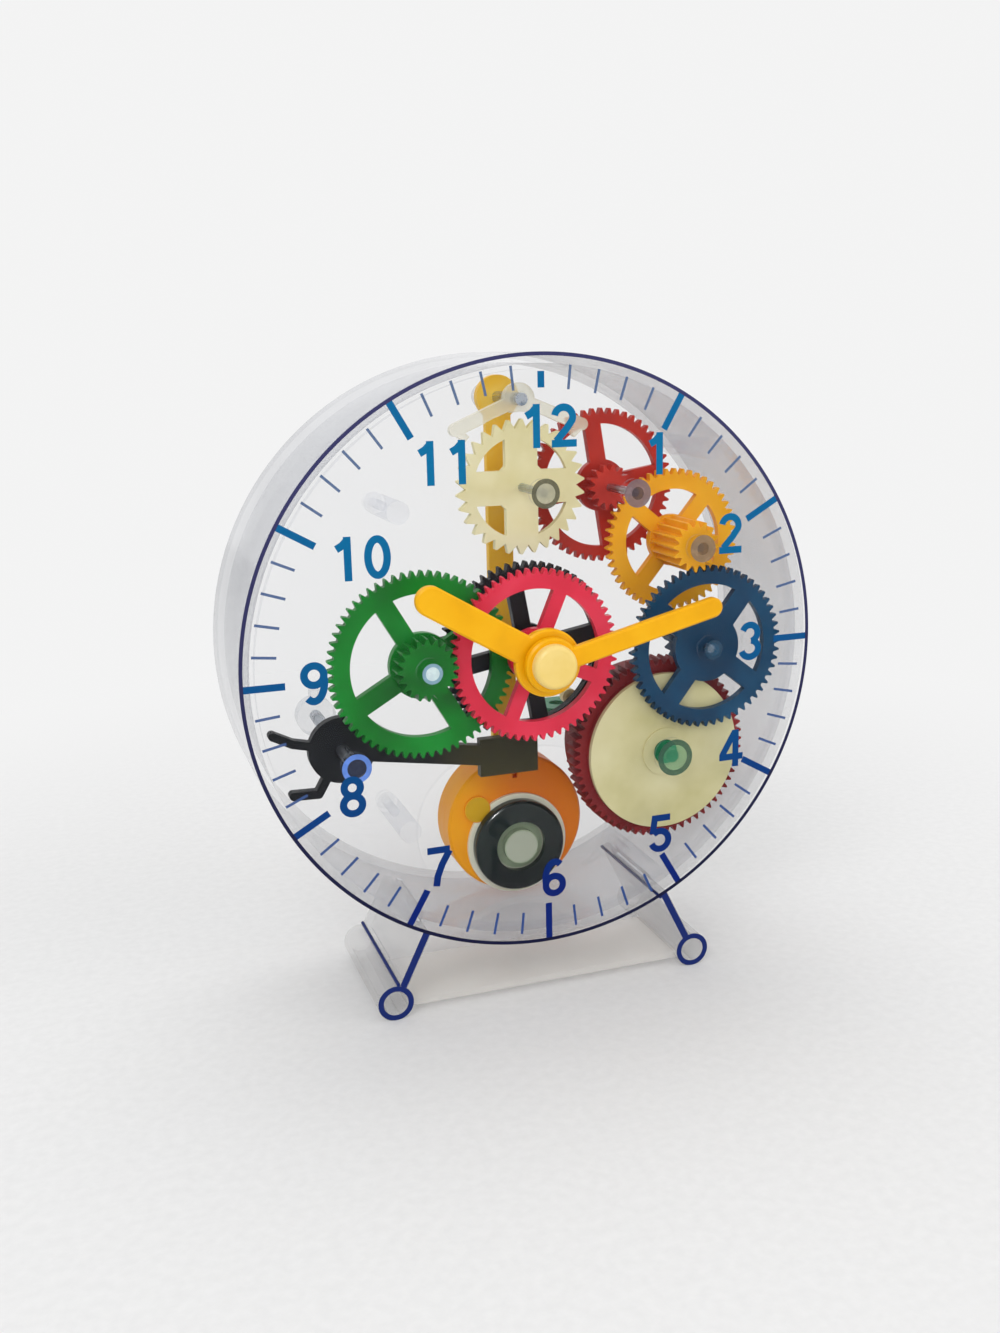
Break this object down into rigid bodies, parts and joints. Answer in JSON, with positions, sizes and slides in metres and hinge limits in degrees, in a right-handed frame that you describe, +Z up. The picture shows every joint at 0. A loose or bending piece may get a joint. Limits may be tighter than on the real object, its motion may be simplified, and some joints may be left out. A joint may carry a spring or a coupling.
{
  "type": "clear wind-up pendulum clock",
  "caption": "Clear round wind-up pendulum clock on a two-foot stand, with coloured open gears, printed dial, yellow hands, mainspring barrel and rear winding key.",
  "frame": {"origin": "bottom centre of the bounding box, on the floor under the foot flats", "axes": "+Z up, dial faces -Y, +X to the right as seen from the front"},
  "size_m": [0.14, 0.071, 0.1535],
  "materials": {
    "clear_cover": "polished clear polystyrene",
    "clear_case": "polished clear polystyrene",
    "clear_plate": "polished clear polystyrene",
    "clear_stand": "polished clear polystyrene, navy front edges",
    "yellow_plastic": "glossy moulded yellow",
    "rod_yellow": "glossy moulded yellow",
    "pink_plastic": "glossy moulded pink-red",
    "green_plastic": "glossy moulded green",
    "blue_plastic": "glossy moulded deep blue",
    "red_plastic": "glossy moulded red",
    "amber_plastic": "glossy moulded amber",
    "cream_plastic": "milky moulded cream",
    "maroon_plastic": "glossy moulded maroon",
    "lid_plastic": "glossy moulded pale olive",
    "black_plastic": "glossy moulded black",
    "orange_plastic": "glossy moulded orange",
    "pale_plastic": "glossy moulded pale cream",
    "cream_spring": "springy moulded cream",
    "winder_green": "glossy moulded green",
    "steel": "bright drawn",
    "dark_steel": "polished black oxide",
    "brass": "stamped"
  },
  "bodies": {
    "case": {"front_cover": "clear_cover", "rear_case": "clear_case", "left_leg": "clear_stand", "right_leg": "clear_stand", "foot_bridge": "clear_stand", "movement_plate": "clear_plate", "plate_screws": "clear_plate", "click_spring": "cream_spring"},
    "barrel": {"mainspring_barrel": "maroon_plastic", "barrel_lid": "lid_plastic", "mainspring": "steel"},
    "winder": {"winding_arbor": "winder_green", "ratchet_wheel": "brass", "winding_key": "winder_green"},
    "minute_train": {"centre_wheel": "black_plastic", "minute_arbor": "steel", "cannon_pinion": "yellow_plastic", "clutch_spring": "steel", "minute_hand": "yellow_plastic", "hand_cap": "yellow_plastic"},
    "motion": {"motion_wheel": "green_plastic", "motion_axle": "steel"},
    "hour": {"hour_wheel": "pink_plastic", "hour_hand": "yellow_plastic"},
    "blue": {"blue_wheel": "blue_plastic", "blue_axle": "steel"},
    "amber": {"amber_wheel": "amber_plastic", "amber_axle": "steel"},
    "red": {"red_wheel": "red_plastic", "red_axle": "steel"},
    "escape": {"escape_wheel": "cream_plastic", "escape_axle": "steel"},
    "pendulum": {"pendulum_rod": "rod_yellow", "anchor": "pale_plastic", "pivot_pin": "steel", "bob": "orange_plastic", "bob_weight": "dark_steel", "weight_holder": "pale_plastic"},
    "stop": {"stop_lever": "black_plastic", "lever_pin": "steel", "lever_knob": "clear_plate"}
  },
  "joints": [
    {"name": "barrel_spin", "type": "hinge", "parent": "case", "child": "barrel", "pos_m": [0.03358, -0.02725, 0.05602], "axis": [0, -1, 0], "continuous": true},
    {"name": "minute_spin", "type": "hinge", "parent": "case", "child": "minute_train", "pos_m": [0, -0.02725, 0.08351], "axis": [0, -1, 0], "continuous": true},
    {"name": "motion_spin", "type": "hinge", "parent": "case", "child": "motion", "pos_m": [-0.02702, -0.02725, 0.08304], "axis": [0, -1, 0], "continuous": true},
    {"name": "hour_spin", "type": "hinge", "parent": "case", "child": "hour", "pos_m": [0, -0.02725, 0.08351], "axis": [0, -1, 0], "continuous": true},
    {"name": "blue_spin", "type": "hinge", "parent": "case", "child": "blue", "pos_m": [0.04371, -0.02725, 0.08213], "axis": [0, -1, 0], "continuous": true},
    {"name": "amber_spin", "type": "hinge", "parent": "case", "child": "amber", "pos_m": [0.04055, -0.02725, 0.10713], "axis": [0, -1, 0], "continuous": true},
    {"name": "red_spin", "type": "hinge", "parent": "case", "child": "red", "pos_m": [0.02351, -0.02725, 0.12113], "axis": [0, -1, 0], "continuous": true},
    {"name": "escape_spin", "type": "hinge", "parent": "case", "child": "escape", "pos_m": [0.00079, -0.02725, 0.1222], "axis": [0, -1, 0], "continuous": true},
    {"name": "winding_turn", "type": "hinge", "parent": "case", "child": "winder", "pos_m": [0.03358, -0.02725, 0.05602], "axis": [0, -1, 0], "continuous": true},
    {"name": "pendulum_swing", "type": "hinge", "parent": "case", "child": "pendulum", "pos_m": [0.0005, -0.02725, 0.14275], "axis": [0, 1, 0], "range_deg": [-3.5, 3.5]},
    {"name": "stop_turn", "type": "hinge", "parent": "case", "child": "stop", "pos_m": [-0.04529, -0.02725, 0.06299], "axis": [0, -1, 0], "range_deg": [0, 8]}
  ],
  "couplings": [
    {"joint": "minute_spin", "follows": "barrel_spin", "ratio": -1.0667},
    {"joint": "motion_spin", "follows": "barrel_spin", "ratio": 0.26667},
    {"joint": "hour_spin", "follows": "barrel_spin", "ratio": -0.088889},
    {"joint": "blue_spin", "follows": "barrel_spin", "ratio": -4},
    {"joint": "amber_spin", "follows": "barrel_spin", "ratio": 14},
    {"joint": "red_spin", "follows": "barrel_spin", "ratio": -49},
    {"joint": "escape_spin", "follows": "barrel_spin", "ratio": 196}
  ]
}
